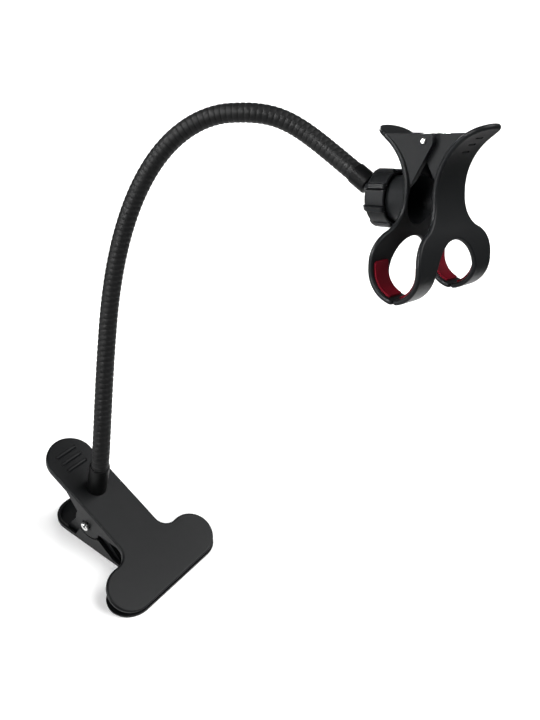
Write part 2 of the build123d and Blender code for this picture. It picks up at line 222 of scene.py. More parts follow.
# Phone clip, measured from its own pin
pin_ahead_of_ball = 28.0
pin_above_ball = 27.3
jaw_wall = 2.6
jaw_round = 1.2
handle_reach = 30.0
handle_rise = 5.0
handle_half_width = 11.8
handle_corner = 11.3
grip_groove_count = 3
grip_groove_start = 9.5
grip_groove_pitch = 4.4
grip_groove_radius = 0.6
grip_groove_half = 3.0
grip_groove_round = 0.3
waist_reach = 9.0
waist_drop = 22.6
waist_half_width = 13.2
flare_start = 26.3
flare_end = 53.5
loop_reach = 14.3
loop_drop = 56.7
loop_round = 15.6
finger_half_span = 32.2
finger_width = 14.2
finger_corner = 2.0
arch_top = 44.3
arch_spring = 64.5
tip_gap = 0.3
ear_clearance = 0.3
holder_ear = 3.4
holder_ear_nose = 4.8
holder_ear_top = 2.3
holder_ear_crest = 3.0
holder_ear_inset = 0.5
holder_ear_round = 0.4
holder_pin_radius = 1.3
holder_pin_proud = 0.5
holder_pin_round = 0.45
holder_coil_radius = 3.4
holder_coil_half_length = 3.4
holder_coil_turns = 2
holder_wire = 1.0
holder_leg_rise = 1.5
grip_pad = 1.0
grip_pad_top = 53.0
grip_pad_margin = 2.0
grip_pad_tip = 3.5
grip_pad_corner = 1.2
grip_pad_round = 0.25

# Places taken from the frame
joints = {joint["name"]: joint for joint in frame["joints"]}
mounts = {mount["name"]: mount for mount in frame["record"]["mounts"]}
slots = {subpart["node"]: subpart["material_slot"] for subpart in frame["record"]["subparts"]}
carriers = {
    node: body
    for body, nodes in frame["record"]["behaviour"]["bodies"].items()
    for node in nodes
}


def framed(x_axis, y_axis, z_axis, origin):
    """Matrix of a place from its axes and its origin."""
    return Matrix.Translation(origin) @ Matrix((x_axis, y_axis, z_axis)).transposed().to_4x4()


def axis_of(name):
    return Vector(joints[name]["axis"]).normalized()


hinge = Vector(joints["clip_open"]["pos_m"])
across = Vector((0, 1, 0))
upper_out = -Vector(mounts["desk_grip"]["axis"]).normalized()
upper_along = across.cross(upper_out)
grip_along = upper_front - pad_setback - pad_depth / 2
upper_tail = (
    Vector(mounts["desk_grip"]["pos_m"])
    - upper_along * grip_along * MM
    + upper_out * (plate + pad) * MM
)
upper_place = framed(upper_along, across, upper_out, upper_tail)
pin_below_upper = (upper_tail - hinge).dot(upper_out) / MM
pin_height = hinge.z / MM
lower_place = Matrix.Translation(hinge - Vector((lower_tail_to_pin, 0, pin_height)) * MM)
pin_place = Matrix.Translation(hinge)
collar_turn = Matrix.Rotation(radians(-collar_rake), 4, "Y")
collar_seat = Matrix.Translation((collar_from_tail, 0, 0)) @ collar_turn
collar_place = upper_place @ Matrix.Translation((collar_from_tail * MM, 0, 0)) @ collar_turn
screw_place = collar_place @ Matrix.Translation((0, 0, -(boss_depth + washer) * MM))
ball = Vector(joints["ball_spin"]["pos_m"])
stem_axis = axis_of("ball_spin")
stem_side = stem_axis.orthogonal().normalized()
stem_place = framed(stem_side, stem_axis.cross(stem_side), stem_axis, ball)
holder_ahead = axis_of("nut_turn")
holder_across = -axis_of("holder_open")
holder_up = holder_ahead.cross(holder_across)
holder_pin = Vector(joints["holder_open"]["pos_m"])
holder_place = framed(holder_ahead, holder_across, holder_up, holder_pin)
nut_place = framed(holder_up, -holder_across, holder_ahead, ball)


class Value:
    """A shader socket that adds Math nodes when it is used in arithmetic."""

    def __init__(self, finish, socket):
        self.finish = finish
        self.socket = socket

    def math(self, operation, other):
        return self.finish.add("ShaderNodeMath", {"operation": operation}, {0: self, 1: other})

    def __add__(self, other):
        return self.math("ADD", other)

    def __mul__(self, other):
        return self.math("MULTIPLY", other)

    __radd__ = __add__
    __rmul__ = __mul__


class Finish:
    """One procedural finish, built node by node round its own shader."""

    def __init__(self, name, **constants):
        self.material = bpy.data.materials.new(name)
        self.material.use_nodes = True
        self.tree = self.material.node_tree
        self.shader = self.tree.nodes["Principled BSDF"]
        for socket, value in constants.items():
            self.shader.inputs[socket.replace("_", " ")].default_value = value
        self.place = self.add("ShaderNodeTexCoord", output="Object")

    def feed(self, socket, value):
        if isinstance(value, Value):
            self.tree.links.new(value.socket, socket)
        else:
            socket.default_value = value

    def add(self, kind, settings=None, inputs=None, output=0):
        """Add a node: its settings first, then the values or links of its sockets."""
        node = self.tree.nodes.new(kind)
        for name, value in (settings or {}).items():
            setattr(node, name, value)
        for name, value in (inputs or {}).items():
            self.feed(node.inputs[name], value)
        return Value(self, node.outputs[output])

    def surface(self, **inputs):
        """Feed what changes over the surface into the shader."""
        for name, value in inputs.items():
            self.feed(self.shader.inputs[name.replace("_", " ")], value)

    def speckle(self, per_metre, detail, stretch=(1, 1, 1)):
        """Noise at a scale, from 0 to 1, stretched along the part's axes."""
        place = self.add("ShaderNodeMapping", inputs={"Vector": self.place, "Scale": stretch})
        return self.add(
            "ShaderNodeTexNoise", inputs={"Vector": place, "Scale": per_metre, "Detail": detail}
        )

    def between(self, share, first, second):
        """Colour between two others."""
        return self.add(
            "ShaderNodeMix",
            {"data_type": "RGBA"},
            {"Factor": share, 6: (*first, 1), 7: (*second, 1)},
            output=2,
        )

    def relief(self, height, depth):
        """Normal of a fine relief of the given depth in metres."""
        return self.add("ShaderNodeBump", inputs={"Height": height, "Distance": depth, "Strength": 1.0})


def satin_plastic():
    """Moulded black plastic: spark-eroded grain, broad shade changes and a satin gloss."""
    finish = Finish("satin_plastic", Specular_IOR_Level=0.11)
    grain = finish.speckle(4200, 2.0)
    cloud = finish.speckle(38, 3.0)
    finish.surface(
        Base_Color=finish.between(cloud, (0.0030, 0.0034, 0.0038), (0.0050, 0.0054, 0.0058)),
        Roughness=0.34 + grain * 0.06 + cloud * 0.07,
        Normal=finish.relief(grain, 0.000012),
    )
    return finish.material


def neck_sheath():
    """Black sheath: a fine grain, and a painted sheen of slightly lighter, rougher patches that comes and goes
    along it.
    """
    finish = Finish("neck_sheath", Specular_IOR_Level=0.12)
    grain = finish.speckle(5200, 2.0)
    sheen = finish.speckle(70, 3.0)
    finish.surface(
        # Painted sheen: the base colour is a little lighter where the sheen noise is high, and the roughness rises
        # with it
        Base_Color=finish.between(sheen, (0.0020, 0.0021, 0.0022), (0.0032, 0.0033, 0.0034)),
        Roughness=0.46 + sheen * 0.08 + grain * 0.04,
        Normal=finish.relief(grain, 0.000004),
    )
    return finish.material


def blackened_metal():
    """Matte black coat over turned metal, with faint turning marks."""
    finish = Finish("blackened_metal", Specular_IOR_Level=0.06)
    grain = finish.speckle(3600, 3.0)
    marks = finish.speckle(900, 2.0, stretch=(0.2, 0.2, 3.0))
    finish.surface(
        Base_Color=finish.between(marks, (0.0014, 0.0015, 0.0016), (0.0024, 0.0025, 0.0026)),
        Roughness=0.34 + grain * 0.10,
        Normal=finish.relief(grain + marks * 0.5, 0.000006),
    )
    return finish.material


def ball_plastic():
    """Polished hard plastic of the ball, with hairline rubbing."""
    finish = Finish("ball_plastic", Specular_IOR_Level=0.5)
    rub = finish.speckle(700, 3.0, stretch=(1, 1, 6))
    finish.surface(
        Base_Color=finish.between(rub, (0.006, 0.006, 0.007), (0.012, 0.012, 0.013)),
        Roughness=0.16 + rub * 0.16,
    )
    return finish.material


def clip_rubber():
    """Soft black rubber with a coarse matte grain."""
    finish = Finish("clip_rubber", Specular_IOR_Level=0.3)
    grain = finish.speckle(2600, 3.0)
    finish.surface(
        Base_Color=finish.between(grain, (0.007, 0.007, 0.007), (0.013, 0.013, 0.014)),
        Roughness=0.68 + grain * 0.14,
        Normal=finish.relief(grain, 0.00004),
    )
    return finish.material


def red_rubber():
    """Crimson rubber with a fine skin and slightly uneven colour."""
    finish = Finish("red_rubber", Specular_IOR_Level=0.03)
    grain = finish.speckle(3000, 3.0)
    cloud = finish.speckle(160, 2.0)
    finish.surface(
        Base_Color=finish.between(cloud, (0.052, 0.0014, 0.0042), (0.072, 0.0022, 0.0062)),
        Roughness=0.52 + grain * 0.14,
        Normal=finish.relief(grain, 0.00003),
    )
    return finish.material


def bright_steel():
    """Plated steel with fine drawn lines."""
    finish = Finish("bright_steel", Metallic=1.0)
    lines = finish.speckle(2400, 2.0, stretch=(1, 0.08, 1))
    finish.surface(
        Base_Color=finish.between(lines, (0.66, 0.66, 0.65), (0.82, 0.82, 0.81)),
        Roughness=0.16 + lines * 0.18,
        Normal=finish.relief(lines, 0.000006),
    )
    return finish.material


def spring_steel():
    """Drawn spring wire: darker steel with lines along the wire."""
    finish = Finish("spring_steel", Metallic=1.0)
    lines = finish.speckle(1800, 3.0, stretch=(1, 0.3, 1))
    finish.surface(
        Base_Color=finish.between(lines, (0.42, 0.42, 0.41), (0.60, 0.60, 0.59)),
        Roughness=0.24 + lines * 0.20,
        Normal=finish.relief(lines, 0.000008),
    )
    return finish.material


def pale_floor():
    """White studio floor with a barely visible mottle."""
    finish = Finish("pale_floor", Roughness=0.9, Specular_IOR_Level=0.1, Emission_Strength=0.2)
    mottle = finish.speckle(3, 2.0)
    finish.surface(Base_Color=finish.between(mottle, (0.86, 0.86, 0.86), (0.88, 0.88, 0.88)))
    return finish.material


finishes = {
    make.__name__: make()
    for make in (
        satin_plastic, neck_sheath, blackened_metal, ball_plastic,
        clip_rubber, red_rubber, bright_steel, spring_steel,
    )
}


def dress(piece, slot):
    """Give a piece the finish of a material slot."""
    piece.data.materials.clear()
    piece.data.materials.append(finishes[slot])


for subpart in frame["record"]["subparts"]:
    dress(frame["nodes"][subpart["node"]], subpart["material_slot"])


def start(name, primitive, place=(0, 0, 0), turn=(0, 0, 0), size=(1, 1, 1), **settings):
    """Add a primitive with nothing else selected, and apply its place, turn and size."""
    bpy.ops.object.select_all(action="DESELECT")
    primitive(location=place, rotation=turn, **settings)
    piece = bpy.context.active_object
    piece.name = name
    piece.data.name = name
    piece.scale = size
    bpy.ops.object.transform_apply(location=True, rotation=True, scale=True)
    return piece


def make_active(piece):
    bpy.ops.object.select_all(action="DESELECT")
    piece.select_set(True)
    bpy.context.view_layer.objects.active = piece


@contextmanager
def editing(piece):
    """Edit mode on one piece."""
    make_active(piece)
    bpy.ops.object.mode_set(mode="EDIT")
    yield
    bpy.ops.object.mode_set(mode="OBJECT")


def choose(kind, test):
    """Select the vertices, edges or faces being edited that pass a test."""
    bpy.ops.mesh.select_mode(type=kind)
    bpy.ops.mesh.select_all(action="DESELECT")
    shape = bmesh.from_edit_mesh(bpy.context.edit_object.data)
    for item in {"VERT": shape.verts, "EDGE": shape.edges, "FACE": shape.faces}[kind]:
        if test(item):
            item.select_set(True)
    bmesh.update_edit_mesh(bpy.context.edit_object.data)


def extrude(x, y, z):
    """Extrude what is selected by a step."""
    bpy.ops.mesh.extrude_region_move(TRANSFORM_OT_translate={"value": (x, y, z)})


def close_up():
    """Merge doubles and turn all faces outwards."""
    bpy.ops.mesh.select_mode(type="VERT")
    bpy.ops.mesh.select_all(action="SELECT")
    bpy.ops.mesh.remove_doubles(threshold=merge_reach)
    bpy.ops.mesh.normals_make_consistent(inside=False)


def chain(name, points):
    """Draw a line of points, each extruded from the last."""
    piece = start(name, bpy.ops.mesh.primitive_plane_add)
    with editing(piece):
        bpy.ops.mesh.merge(type="CENTER")
        bpy.ops.transform.translate(value=points[0])
        for first, second in zip(points, points[1:]):
            extrude(*(Vector(second) - Vector(first)))
    return piece


def filled(name, points):
    """Draw an outline and fill it with one face."""
    piece = chain(name, points)
    with editing(piece):
        bpy.ops.mesh.select_all(action="SELECT")
        bpy.ops.mesh.edge_face_add()
    return piece


def round_corners(piece, radius, segments, test):
    """Round the corners of a flat outline that lie where a test says."""
    with editing(piece):
        choose("VERT", lambda corner: test(corner.co))
        bpy.ops.mesh.bevel(offset=radius, segments=segments, affect="VERTICES", clamp_overlap=False)


def thicken(piece, x, y, z):
    """Extrude a flat face into a closed body."""
    with editing(piece):
        bpy.ops.mesh.select_all(action="SELECT")
        extrude(x, y, z)
        close_up()


def soften(piece, width, segments=3, sharper_than=40, where=lambda place: True):
    """Round the edges that are sharper than an angle and lie where a test says."""
    with editing(piece):
        choose(
            "EDGE",
            lambda edge: len(edge.link_faces) == 2
            and edge.calc_face_angle() > radians(sharper_than)
            and all(where(corner.co) for corner in edge.verts),
        )
        bpy.ops.mesh.bevel(offset=width, segments=segments, affect="EDGES", clamp_overlap=True)
        close_up()


def apply_modifier(piece, kind, **settings):
    modifier = piece.modifiers.new("work", kind)
    for name, value in settings.items():
        setattr(modifier, name, value)
    make_active(piece)
    bpy.ops.object.modifier_apply(modifier=modifier.name)


def carve(piece, tool, operation="DIFFERENCE"):
    """Cut a tool out of a piece, or unite the two."""
    apply_modifier(piece, "BOOLEAN", object=tool, operation=operation, solver="EXACT")
    bpy.data.objects.remove(tool)


def move(piece, place):
    """Move a piece and apply its place to its mesh."""
    make_active(piece)
    piece.matrix_world = place
    bpy.ops.object.transform_apply(location=True, rotation=True, scale=True)
    return piece


def turned(name, profile, steps=64):
    """Turn a profile of (radius, height) points about Z."""
    piece = chain(name, [(radius, 0, height) for radius, height in profile])
    with editing(piece):
        bpy.ops.mesh.select_all(action="SELECT")
        bpy.ops.mesh.spin(steps=steps, angle=2 * pi, center=(0, 0, 0), axis=(0, 0, 1))
        close_up()
    return piece


def round_bar(name, radius, low, high):
    """Plain round bar on Z."""
    return turned(name, [(0, low), (radius, low), (radius, high), (0, high)])


def bar_across(name, radius, low, high, x=0.0, z=0.0, sides=48):
    """Round bar along Y between two places, used to cut eyes, recesses and grooves."""
    return start(
        name, bpy.ops.mesh.primitive_cylinder_add, place=(x, (low + high) / 2, z), turn=(pi / 2, 0, 0),
        vertices=sides, radius=radius, depth=high - low,
    )


def arc(centre, radius, first, last, steps):
    """Points of an arc in a plane, from one angle in degrees to another."""
    turns = [radians(first + (last - first) * step / steps) for step in range(steps + 1)]
    return [(centre[0] + radius * cos(turn), centre[1] + radius * sin(turn)) for turn in turns]


def curve(name, kind, count):
    """Add a curve in space, with one spline of a number of points."""
    line = bpy.data.curves.new(name, "CURVE")
    line.dimensions = "3D"
    route = line.splines.new(kind)
    points = route.bezier_points if kind == "BEZIER" else route.points
    points.add(count - 1)
    piece = bpy.data.objects.new(name, line)
    bpy.context.scene.collection.objects.link(piece)
    return piece, route


def stand_for(piece, node, place, bend=None, smooth=35):
    """Set a piece in its place in metres with its node's finish, on the node's body, or on no body with its place
    baked in when it is given a bend.
    """
    move(piece, place @ Matrix.Scale(MM, 4))
    make_active(piece)
    bpy.ops.object.shade_smooth_by_angle(angle=radians(smooth))
    if not bend:
        apply_modifier(piece, "WEIGHTED_NORMAL", keep_sharp=True)
    dress(piece, slots[node])
    if bend:
        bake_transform(piece)
    else:
        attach(piece, carriers[node])
    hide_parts(node)


def clip_jaw(name, front, pin_at, pin_up, ear, ear_outside):
    """Hammer-headed jaw, outer face down at height 0, with rim, ears and finger grooves."""
    neck = front - 2 * lobe_radius
    throat_side = body_half_width + throat_round
    reach = sqrt((lobe_radius + throat_round) ** 2 - (lobe_offset - throat_side) ** 2)
    meet = degrees(atan2(lobe_offset - throat_side, reach))
    half = (
        arc((0, 0), body_half_width, 180, 90, 24)
        + arc((front - lobe_radius - reach, throat_side), throat_round, -90, meet, 10)
        + arc((front - lobe_radius, lobe_offset), lobe_radius, 180 + meet, 0, 28)
    )
    mirrored = [(x, -y) for x, y in reversed(half[1:])]
    jaw = filled(name, [(x, y, 0) for x, y in half + mirrored])
    thicken(jaw, 0, 0, plate)
    soften(jaw, edge_round, 5, where=lambda place: place.z < slack)
    with editing(jaw):
        choose("FACE", lambda face: face.normal.z > upward and len(face.verts) > 4)
        bpy.ops.mesh.inset(thickness=rim_wall)
        choose(
            "FACE",
            lambda face: face.normal.z > upward
            and len(face.verts) == 4
            and face.calc_center_median().x < neck,
        )
        extrude(0, 0, rim_height)
        close_up()
    soften(jaw, rim_round, 2, where=lambda place: place.z > plate + rim_height - slack)
    for side in (-1, 1):
        carve(jaw, upright(ear, side, ear_outside, ear_wall), "UNION")
    for row in range(groove_count):
        carve(jaw, finger_groove((row - (groove_count - 1) / 2) * groove_pitch))
    past_sides = 2 * body_half_width
    carve(jaw, bar_across("eye", clip_pin_radius + pin_fit, -past_sides, past_sides, pin_at, pin_up))
    return jaw


def upright(side_view, side, outside, thickness):
    """Upright wall with softened edges above the plate, at one side of a clip jaw."""
    wall = filled("wall", [(x, side * outside, z) for x, z in side_view])
    thicken(wall, 0, -side * thickness, 0)
    soften(wall, wall_round, 3, where=lambda place: place.z > plate)
    return wall


def finger_groove(x):
    """Round-ended cutter for one of the grooves at a clip jaw's tail."""
    sunk = groove_depth - groove_radius
    half = groove_length / 2
    groove = bar_across("groove", groove_radius, -half, half, x, sunk, sides=24)
    soften(groove, groove_end_round, 4, sharper_than=60)
    return groove


def upper_ear():
    """Side view of an upper ear: a round eye at the pin on a wedge along the plate."""
    shoulder = degrees(asin(ear_shoulder / ear_radius))
    foot = [(upper_tail_to_pin - ear_back, plate / 2), (upper_tail_to_pin + ear_front, plate / 2)]
    return foot + arc((upper_tail_to_pin, pin_below_upper), ear_radius, -shoulder, 180 + shoulder, 40)


def lower_ear():
    """Side view of a lower ear: a round eye at the pin that spreads to a foot on the plate."""
    rise = pin_height - plate / 2
    lean = degrees(acos(lower_ear_radius / sqrt(rise**2 + lower_ear_foot**2)))
    lean -= degrees(atan2(rise, lower_ear_foot))
    foot = [(lower_tail_to_pin + side * lower_ear_foot, plate / 2) for side in (-1, 1)]
    return foot + arc((lower_tail_to_pin, pin_height), lower_ear_radius, lean, 180 - lean, 28)


def lower_wall():
    """Side view of the lower jaw's outer wall, hollowed round the upper ear's eye."""
    hollow = ear_radius + lower_wall_gap
    dip = degrees(asin((pin_height - lower_wall_height) / hollow))
    corners = [
        (-lower_wall_back, plate / 2),
        (lower_wall_front, plate / 2),
        (lower_wall_top_front, lower_wall_height),
    ]
    hollow_line = arc((0, pin_height), hollow, -dip, dip - 180, 24)
    outline = corners + hollow_line + [(-lower_wall_top_back, lower_wall_height)]
    return [(x + lower_tail_to_pin, z) for x, z in outline]


def upper_clip_jaw():
    """Upper jaw with pin recesses, and the raked boss that holds the collar."""
    jaw = clip_jaw(
        "upper_clip_jaw", upper_front, upper_tail_to_pin, pin_below_upper, upper_ear(), body_half_width
    )
    for side in (-1, 1):
        low, high = sorted((side * (body_half_width - pin_recess), side * 2 * body_half_width))
        carve(jaw, bar_across("recess", pin_recess_radius, low, high, upper_tail_to_pin, pin_below_upper))
    move(jaw, Matrix.Rotation(pi, 4, "X"))
    boss = round_bar("boss", collar_radius + boss_wall, -boss_depth, boss_depth)
    move(boss, collar_seat)
    with editing(boss):
        bpy.ops.mesh.select_all(action="SELECT")
        bpy.ops.mesh.bisect(
            plane_co=(0, 0, -plate / 2), plane_no=(0, 0, 1), use_fill=True, clear_outer=True
        )
    carve(jaw, boss, "UNION")
    bore = round_bar("bore", collar_radius + seat_gap, -2 * boss_depth, 2 * boss_depth)
    carve(jaw, move(bore, collar_seat))
    stand_for(jaw, "clip_upper_jaw", upper_place)


def lower_clip_jaw():
    """Lower jaw with outer walls that stand clear of the upper ears."""
    jaw = clip_jaw(
        "lower_clip_jaw", lower_front, lower_tail_to_pin, pin_height, lower_ear(), lower_ear_outside
    )
    for side in (-1, 1):
        carve(jaw, upright(lower_wall(), side, body_half_width, rim_wall), "UNION")
    stand_for(jaw, "clip_lower_jaw", lower_place)


def clip_pad(name, front, node, place):
    """Rubber strip inside a hammer head, with softened edges."""
    half_width = lobe_offset + lobe_radius - pad_margin
    back = front - pad_setback - pad_depth
    strip = filled(
        name,
        [(back, -half_width, plate), (back + pad_depth, -half_width, plate),
         (back + pad_depth, half_width, plate), (back, half_width, plate)],
    )
    round_corners(strip, pad_corner, 12, lambda corner: True)
    thicken(strip, 0, 0, pad)
    soften(strip, pad_round, 3, where=lambda corner: corner.z > plate + slack)
    stand_for(strip, node, place)


def rolled_clip_pin():
    """Hollow pin rolled from sheet, with rounded ends and an open seam."""
    half = body_half_width + clip_pin_proud
    pin = turned(
        "rolled_clip_pin",
        [(clip_pin_bore, -half), (clip_pin_radius, -half), (clip_pin_radius, half),
         (clip_pin_bore, half), (clip_pin_bore, -half)],
    )
    soften(pin, clip_pin_round, 3)
    seam = start(
        "seam", bpy.ops.mesh.primitive_cube_add, place=(clip_pin_radius, 0, 0),
        size=(clip_pin_radius, clip_pin_slit / 2, 2 * half),
    )
    carve(pin, seam)
    seam_turn = Matrix.Rotation(radians(clip_pin_seam_turn), 4, "Z")
    stand_for(pin, "clip_pin", pin_place @ Matrix.Rotation(pi / 2, 4, "X") @ seam_turn)


def torsion_spring(name, coil_radius, wire, turns, half_length, first_tip, second_tip):
    """Round-wire torsion spring about Y, whose two legs end at points of the XZ plane."""
    first_leg = sqrt(first_tip.length_squared - coil_radius**2)
    second_leg = sqrt(second_tip.length_squared - coil_radius**2)
    first = atan2(first_tip.y, first_tip.x) + atan2(first_leg, coil_radius)
    last = atan2(second_tip.y, second_tip.x) - atan2(second_leg, coil_radius)
    sweep = 2 * pi * turns + (last - first) % (2 * pi)
    steps = round(sweep / radians(coil_step))
    places = [(first_tip.x, half_length, first_tip.y)]
    for step in range(steps + 1):
        turn = first + sweep * step / steps
        side = half_length - 2 * half_length * step / steps
        places.append((coil_radius * cos(turn), side, coil_radius * sin(turn)))
    places.append((second_tip.x, -half_length, second_tip.y))
    spring, route = curve(name, "POLY", len(places))
    spring.data.bevel_depth = wire / 2
    spring.data.bevel_resolution = wire_steps
    spring.data.use_fill_caps = True
    for point, place in zip(route.points, places):
        point.co = (*place, 1)
    make_active(spring)
    bpy.ops.object.convert(target="MESH")
    return bpy.context.active_object


def clip_spring():
    """Spring round the clip's pin, with one leg on each jaw's inner face towards its tail."""
    off_plate = clip_wire / 2 + seat_gap
    lower_tip = Vector((-clip_leg_reach, plate + off_plate - pin_height))
    upper_leg = upper_out * (pin_below_upper - plate - off_plate) - upper_along * clip_leg_reach
    spring = torsion_spring(
        "clip_spring_wire", clip_coil_radius, clip_wire, clip_coil_turns, clip_coil_half_length,
        lower_tip, Vector((upper_leg.x, upper_leg.z)),
    )
    bend_from = hinge - Vector((0, 0, clip_coil_radius * MM))
    bend_to = Vector((hinge.x, hinge.y, 2 * plate * MM))
    stand_for(spring, "clip_spring", pin_place, ("base", "lower_jaw", bend_from, bend_to))


def collar():
    """Turned collar with a chamfered rim, bored for the gooseneck and tapped for its screw."""
    bore = neck_radius + neck_fit
    body = turned(
        "turned_collar",
        [(0, -boss_depth), (collar_radius, -boss_depth), (collar_radius, collar_height - collar_chamfer),
         (collar_radius - collar_chamfer / 2, collar_height), (bore, collar_height),
         (bore, collar_height - collar_bore_depth), (0, collar_height - collar_bore_depth)],
    )
    soften(body, turned_edge, 2)
    carve(body, round_bar("tapping", screw_radius + seat_gap, -2 * boss_depth, screw_reach - boss_depth))
    stand_for(body, "neck_collar", collar_place)


def collar_fastening():
    """Washer and cross-headed screw below the boss."""
    hole = screw_radius + seat_gap
    tip = screw_reach + washer
    ring = turned(
        "collar_washer_ring",
        [(hole, 0), (washer_radius, 0), (washer_radius, washer), (hole, washer), (hole, 0)],
    )
    soften(ring, turned_edge, 2)
    stand_for(ring, "collar_washer", screw_place)
    screw = turned(
        "pan_head_screw",
        [(0, -screw_head_height), (screw_crown_radius, -screw_head_height),
         (screw_head_radius, -screw_head_height / 2), (screw_head_radius, 0), (screw_radius, 0),
         (screw_radius, tip - screw_tip), (screw_radius - screw_tip, tip), (0, tip)],
    )
    for turn in (0, pi / 2):
        slot = start(
            "cross", bpy.ops.mesh.primitive_cube_add, place=(0, 0, -screw_head_height),
            turn=(0, 0, turn), size=(cross_half_length, cross_half_width, cross_half_depth),
        )
        carve(screw, slot)
    stand_for(screw, "collar_screw", screw_place)


def neck_line():
    """Centre line of the gooseneck, from inside the collar to inside the ferrule, and its length."""
    up = Vector(collar_place.col[2][:3])
    rim = (collar_place @ Vector((0, 0, collar_height * MM))) / MM
    mouth = ball / MM - stem_axis * (ferrule_gap + ferrule_length)
    inner = collar_bore_depth - seat_gap
    depth = ferrule_length - ferrule_floor - seat_gap
    stations = [
        (rim - up * inner, up, inner / 3, inner / 3),
        (rim, up, inner / 3, collar_lead),
        first_knee,
        second_knee,
        (mouth, stem_axis, ferrule_lead, depth / 3),
        (mouth + stem_axis * depth, stem_axis, depth / 3, depth / 3),
    ]
    guide, route = curve("neck_line", "BEZIER", len(stations))
    guide.data.resolution_u = neck_line_steps
    for knot, (place, ahead, back, forward) in zip(route.bezier_points, stations):
        knot.handle_left_type = knot.handle_right_type = "FREE"
        knot.co = place
        knot.handle_left = place - ahead.normalized() * back
        knot.handle_right = place + ahead.normalized() * forward
    return guide, route.calc_length()


def gooseneck():
    """Ribbed sheath: one rounded ring, repeated along the neck's centre line and bent with it."""
    guide, length = neck_line()
    count = round(length / neck_pitch)
    pitch = length / count
    shares = (0, 0.05, 0.11, 0.2, 0.33, 0.5, 0.67, 0.8, 0.89, 0.95, 1)
    crest = neck_radius + neck_crest
    ring = [
        (crest - neck_groove * abs(2 * share - 1) ** neck_groove_power, share * pitch) for share in shares
    ]
    sheath = turned("gooseneck_sheath", ring, steps=32)
    apply_modifier(
        sheath, "ARRAY", count=count, use_relative_offset=False, use_constant_offset=True,
        constant_offset_displace=(0, 0, pitch), use_merge_vertices=True, merge_threshold=slack,
    )
    apply_modifier(sheath, "CURVE", object=guide, deform_axis="POS_Z")
    bpy.data.objects.remove(guide)
    with editing(sheath):
        choose("EDGE", lambda edge: edge.is_boundary)
        bpy.ops.mesh.fill_holes(sides=0)
        close_up()
    bend = ("base", "neck_head", neck_bend_start, neck_bend_end)
    stand_for(sheath, "gooseneck", Matrix.Identity(4), bend, smooth=60)


def ferrule():
    """Smooth sleeve at the gooseneck's upper end, with a slim nose towards the ball."""
    bore = neck_radius + neck_fit
    hole = shank_radius + pin_fit
    nose_hole = stem_radius + pin_fit
    end = -ferrule_gap
    sleeve = turned(
        "ferrule_sleeve",
        [(hole, end), (nose_hole, end), (nose_hole, end + ferrule_nose),
         (ferrule_nose_radius, end + ferrule_nose), (ferrule_nose_radius, end + ferrule_shoulder),
         (ferrule_radius, end), (ferrule_radius, end - ferrule_length), (bore, end - ferrule_length),
         (bore, end - ferrule_floor), (hole, end - ferrule_floor), (hole, end)],
    )
    soften(sleeve, ferrule_round, 3, where=lambda place: place.xy.length > bore - slack)
    stand_for(sleeve, "upper_ferrule", stem_place)


def ball_stud():
    """Polished ball on its stem and shank."""
    root = degrees(acos(stem_radius / ball_radius))
    step = seat_gap - ferrule_gap
    foot = step - ferrule_floor
    stud = turned(
        "polished_ball",
        [(0, foot), (shank_radius, foot), (shank_radius, step), (stem_radius, step)]
        + arc((0, 0), ball_radius, -root, 90, 36),
    )
    stand_for(stud, "ball_stud", stem_place)


def lock_nut():
    """Ring nut with a ball seat, a domed back, a recessed front and ribs that stand in gutters."""
    seat = ball_radius + ball_fit
    lip = degrees(asin(sqrt(seat**2 - nut_lip_radius**2) / seat))
    crown = nut_crown - nut_back
    middle = Vector(((nut_radius + nut_mouth_radius) / 2, (crown - nut_back) / 2))
    chord = Vector((nut_radius - nut_mouth_radius, nut_crown))
    inward = Vector((-chord.y, chord.x)).normalized()
    centre = middle + inward * sqrt(nut_dome**2 - chord.length_squared / 4)
    first = degrees(atan2(crown - centre.y, nut_radius - centre.x))
    last = degrees(atan2(-nut_back - centre.y, nut_mouth_radius - centre.x))
    dome = arc(centre, nut_dome, first, last, 8)
    shoulder = cup_mouth - nut_shoulder_gap
    profile = (
        [(nut_bore, shoulder), (nut_bore, nut_front - nut_recess),
         (nut_recess_radius, nut_front - nut_recess), (nut_recess_radius, nut_front),
         (nut_radius - nut_edge, nut_front), (nut_radius, nut_front - nut_edge)]
        + dome
        + arc((0, 0), seat, -lip, 0, 8)
        + [(seat, shoulder), (nut_bore, shoulder)]
    )
    nut = turned("ribbed_lock_nut", profile, steps=96)
    for number in range(nut_rib_count):
        turn = Matrix.Rotation(2 * pi * number / nut_rib_count + radians(nut_rib_phase), 4, "Z")
        gutter = start(
            "gutter", bpy.ops.mesh.primitive_cube_add,
            place=(nut_radius + nut_gutter_cutter - nut_gutter_depth, 0, 0),
            size=(nut_gutter_cutter, nut_rib_width / 2 + nut_rib_gutter, 2 * nut_front),
        )
        carve(nut, move(gutter, turn))
        carve(nut, move(nut_rib(), turn), "UNION")
    stand_for(nut, "lock_nut", nut_place)


def nut_rib():
    """One rib of the lock nut: round across, and running out over the dome."""
    crown = nut_crown - nut_back
    top = nut_radius + nut_rib_height
    root = nut_radius - nut_rib_root
    outline = [
        (root, nut_rib_low_end - nut_back), (nut_radius - nut_rib_foot, nut_rib_foot_end - nut_back),
        (top, crown), (top, nut_front), (root, nut_front),
    ]
    rib = filled("rib", [(x, -nut_rib_width / 2, z) for x, z in outline])
    round_corners(rib, nut_rib_corner, 5, lambda place: place.x > top - slack)
    thicken(rib, 0, nut_rib_width, 0)
    soften(rib, nut_rib_round, 4, where=lambda place: place.x > root + slack)
    return rib


